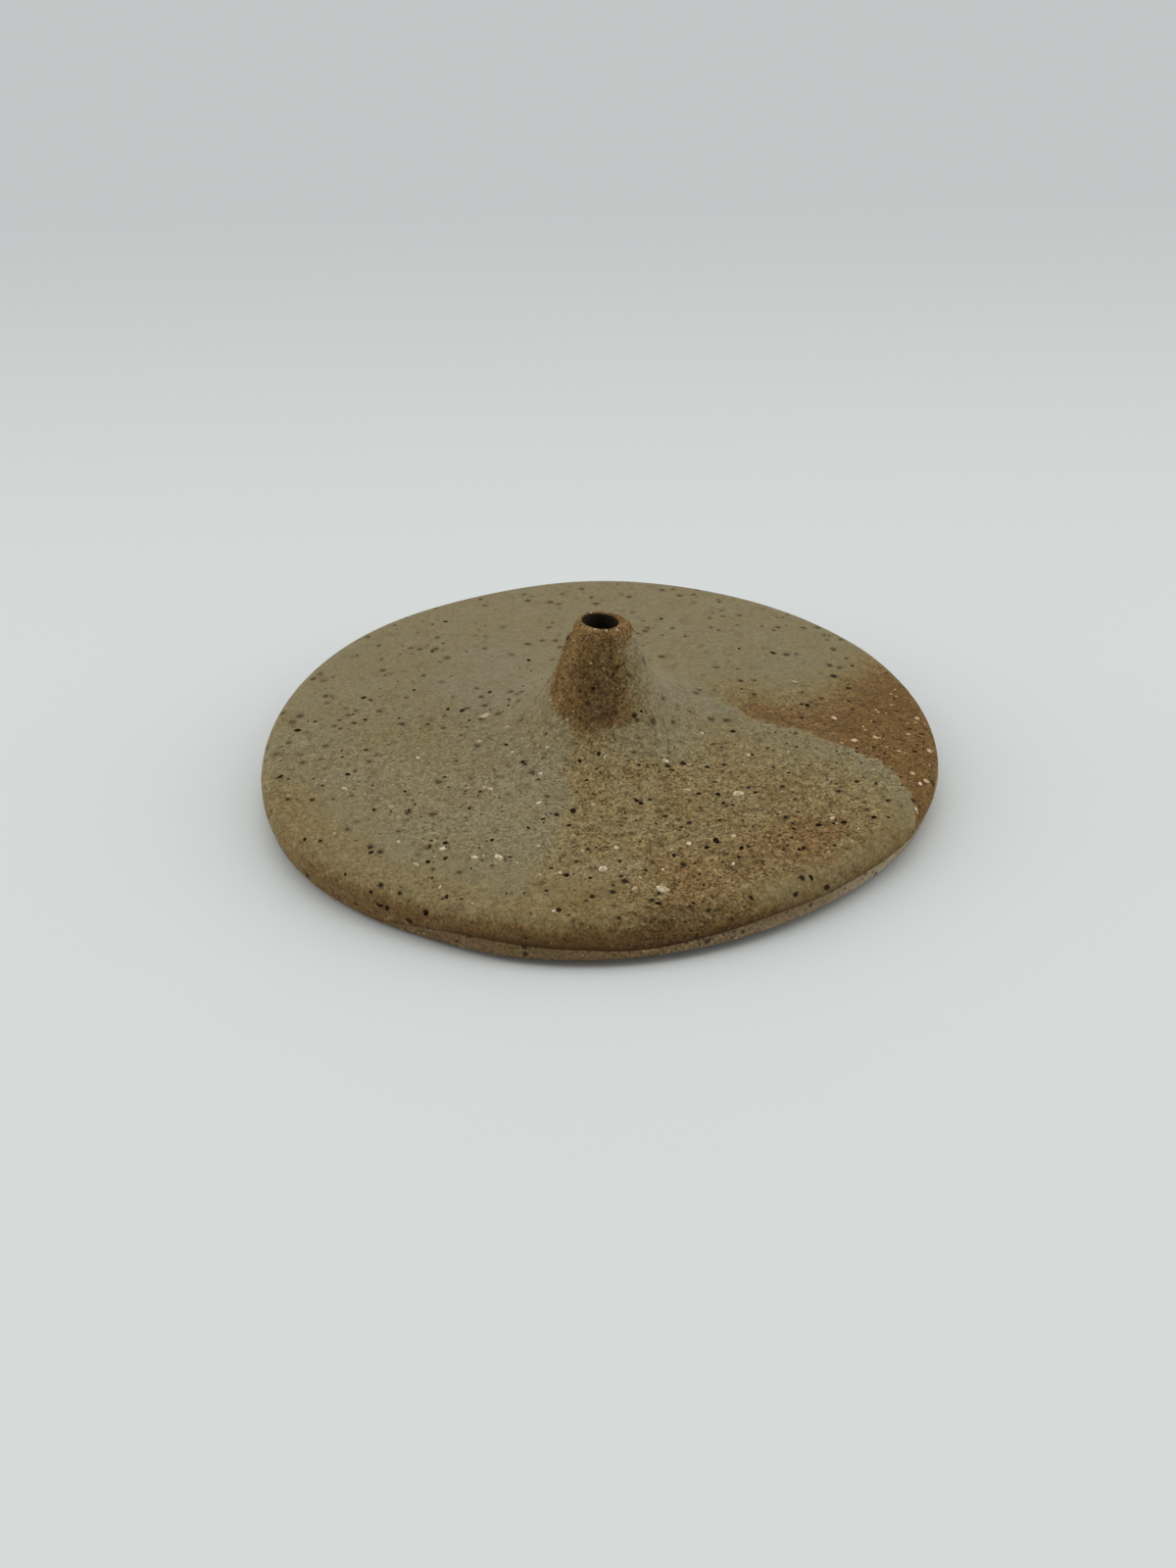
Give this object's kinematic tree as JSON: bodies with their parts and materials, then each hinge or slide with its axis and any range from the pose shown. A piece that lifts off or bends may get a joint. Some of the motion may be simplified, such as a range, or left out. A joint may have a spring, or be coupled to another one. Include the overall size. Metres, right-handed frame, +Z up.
{
  "type": "incense stick holder",
  "caption": "Low round stoneware holder with a hollow flared spout in its middle that stands an incense stick upright, glazed in overlapping grey-green and tan pours.",
  "frame": {"origin": "on the surface that the holder stands on, under the middle of the spout", "axes": "+Z up along the stick hole, front of the holder towards -Y, bare wedge of the glaze towards +X"},
  "size_m": [0.0896, 0.09, 0.0223],
  "materials": {
    "stoneware_clay": "bare fired stoneware with iron specks and white grit, rough",
    "clay_slip": "fired slip, matt",
    "tan_glaze": "thin satin-matt tan-olive glaze over specked clay",
    "grey_green_glaze": "thicker satin-matt grey-green glaze over specked clay"
  },
  "bodies": {
    "root": {"base_disc": "stoneware_clay", "spout": "stoneware_clay", "luting_slip": "clay_slip", "joint_coil": "stoneware_clay", "front_glaze_pour": "tan_glaze", "back_glaze_pour": "grey_green_glaze"}
  },
  "joints": []
}
